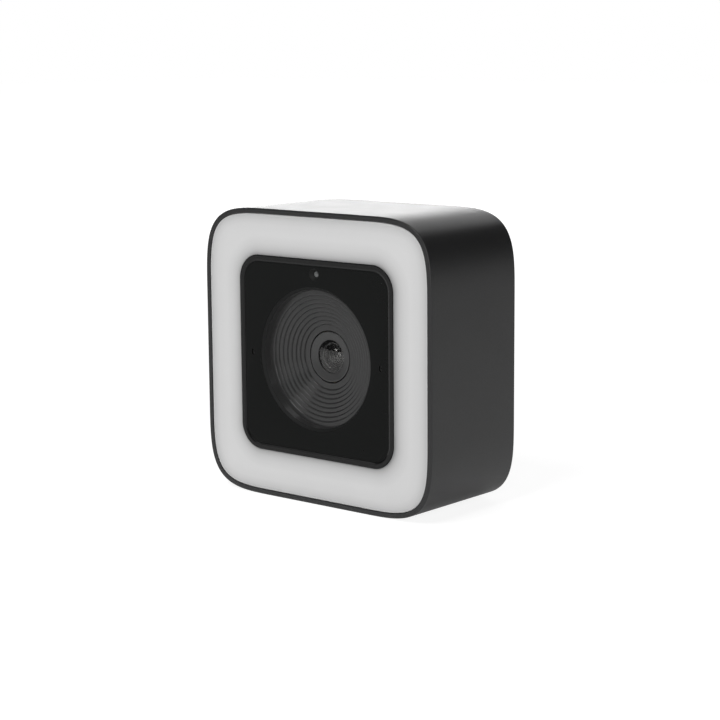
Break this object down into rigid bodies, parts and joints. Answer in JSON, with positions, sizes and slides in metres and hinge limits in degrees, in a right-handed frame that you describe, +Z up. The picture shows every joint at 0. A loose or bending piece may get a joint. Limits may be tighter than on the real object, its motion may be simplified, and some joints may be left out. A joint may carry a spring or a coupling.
{
  "type": "webcam",
  "caption": "Square webcam body with a white light ring, a black panel and a stepped recess around an autofocus lens.",
  "frame": {"origin": "under the middle of the housing, on the flat base", "axes": "the lens looks towards -Y, +X is to the right as seen from the front, +Z is up"},
  "size_m": [0.06, 0.0274, 0.0598],
  "materials": {
    "housing_black": "fine matt anodised black with a soft sheen",
    "cover_black": "fine texture",
    "opal_white": "opal, satin",
    "reflector_white": "matt white",
    "frame_black": "satin",
    "panel_black": "polished",
    "recess_grey": "fine matt",
    "barrel_grey": "satin",
    "inner_black": "matt",
    "lens_glass": "coated",
    "filter_glass": "coated",
    "light_pipe_clear": "clear",
    "rubber_black": "soft",
    "board_green": "solder resist",
    "board_white": "white solder resist",
    "diode_yellow": "phosphor in a white package",
    "socket_cream": "moulded",
    "ribbon_amber": "film",
    "screw_black": "blackened",
    "screw_steel": "plated",
    "bush_brass": "machined",
    "coil_copper": "enamelled wire",
    "magnet_nickel": "nickel plated",
    "yoke_steel": "stamped",
    "spring_bronze": "etched",
    "chip_black": "moulded",
    "sensor_dark": "glass topped",
    "thermal_blue": "soft",
    "microphone_gold": "plated can"
  },
  "bodies": {
    "camera": {"housing": "housing_black", "rear_cover": "cover_black", "cover_screws": "screw_black", "tripod_bush": "bush_brass", "light_diffuser": "opal_white", "light_reflector": "reflector_white", "light_leds": "diode_yellow", "light_board": "board_white", "light_board_screws": "screw_steel", "light_cable": "ribbon_amber", "light_connectors": "socket_cream", "panel_frame": "frame_black", "front_panel": "panel_black", "lens_cone": "recess_grey", "status_light_pipe": "light_pipe_clear", "status_led": "diode_yellow", "microphone_boots": "rubber_black", "microphones": "microphone_gold", "front_board": "board_green", "front_board_screws": "screw_steel", "front_board_cable": "ribbon_amber", "front_board_connectors": "socket_cream", "chassis": "inner_black", "chassis_screws": "screw_steel", "panel_screws": "screw_black", "focus_magnets": "magnet_nickel", "focus_yoke": "yoke_steel", "focus_front_spring": "spring_bronze", "focus_rear_spring": "spring_bronze", "lens_holder": "inner_black", "infrared_filter": "filter_glass", "image_sensor": "sensor_dark", "sensor_board": "board_green", "sensor_board_screws": "screw_steel", "board_connector": "inner_black", "main_board": "board_green", "main_board_screws": "screw_steel", "processor": "chip_black", "thermal_pad": "thermal_blue", "memory_chip": "chip_black", "power_coils": "chip_black", "usb_shell": "screw_steel", "usb_tongue": "inner_black"},
    "lens": {"lens_barrel": "barrel_grey", "lens_front_element": "lens_glass", "lens_front_spacer": "inner_black", "lens_middle_element": "lens_glass", "lens_stop": "inner_black", "lens_inner_element": "lens_glass", "lens_rear_spacer": "inner_black", "lens_rear_element": "lens_glass", "lens_retaining_ring": "inner_black", "focus_carrier": "inner_black", "focus_coil": "coil_copper"}
  },
  "joints": [
    {"name": "focus", "type": "slide", "parent": "camera", "child": "lens", "axis": [0, -1, 0], "range_m": [0, 0.0003], "stiffness_N_per_m": 120, "deforming": ["focus_front_spring", "focus_rear_spring"]}
  ]
}
